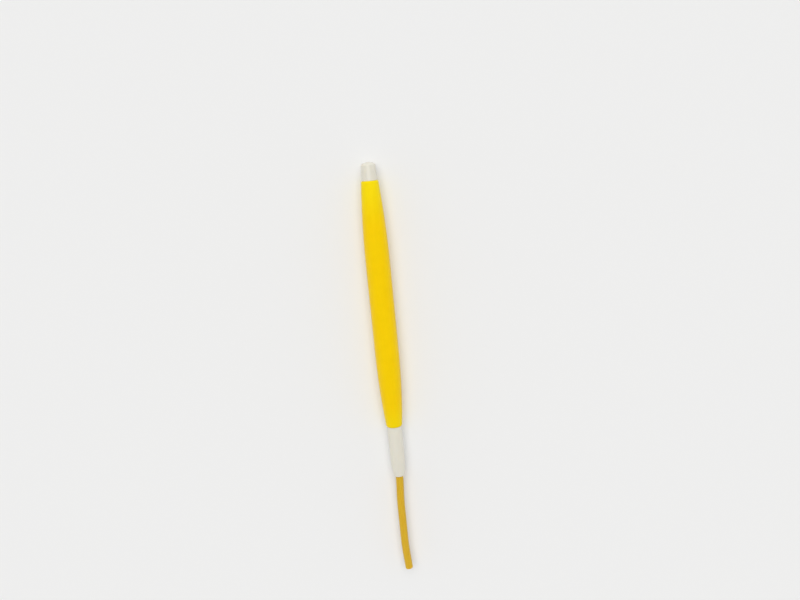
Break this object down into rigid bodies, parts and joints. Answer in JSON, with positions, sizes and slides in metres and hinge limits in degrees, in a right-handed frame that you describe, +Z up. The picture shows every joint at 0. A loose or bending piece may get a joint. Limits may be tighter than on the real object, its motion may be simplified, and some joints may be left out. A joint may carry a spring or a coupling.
{
  "type": "scriber needle",
  "caption": "Pen-sized hand tool: a round tapered plastic handle with a white end cap, and a slim nose holding a fixed steel needle under a slip-on soft tube guard.",
  "frame": {"origin": "on the surface that the tool lies on, under the middle of its length", "axes": "+X along the tool from the rear cap to the needle point, +Z up, +Y towards the side that the guard's free end bends to"},
  "size_m": [0.1598, 0.0088, 0.0089],
  "materials": {
    "yellow_plastic": "satin moulded yellow plastic",
    "white_plastic": "satin moulded warm white plastic",
    "needle_steel": "drawn steel wire with a ground point",
    "guard_tube": "soft translucent-looking ochre yellow tube"
  },
  "bodies": {
    "handle": {"barrel": "yellow_plastic", "rear_cap": "white_plastic", "needle_holder": "white_plastic", "needle": "needle_steel"},
    "guard": {"needle_guard": "guard_tube"}
  },
  "joints": [
    {"name": "guard_slide", "type": "slide", "parent": "handle", "child": "guard", "axis": [1, 0, 0], "range_m": [0, 0.03]}
  ]
}
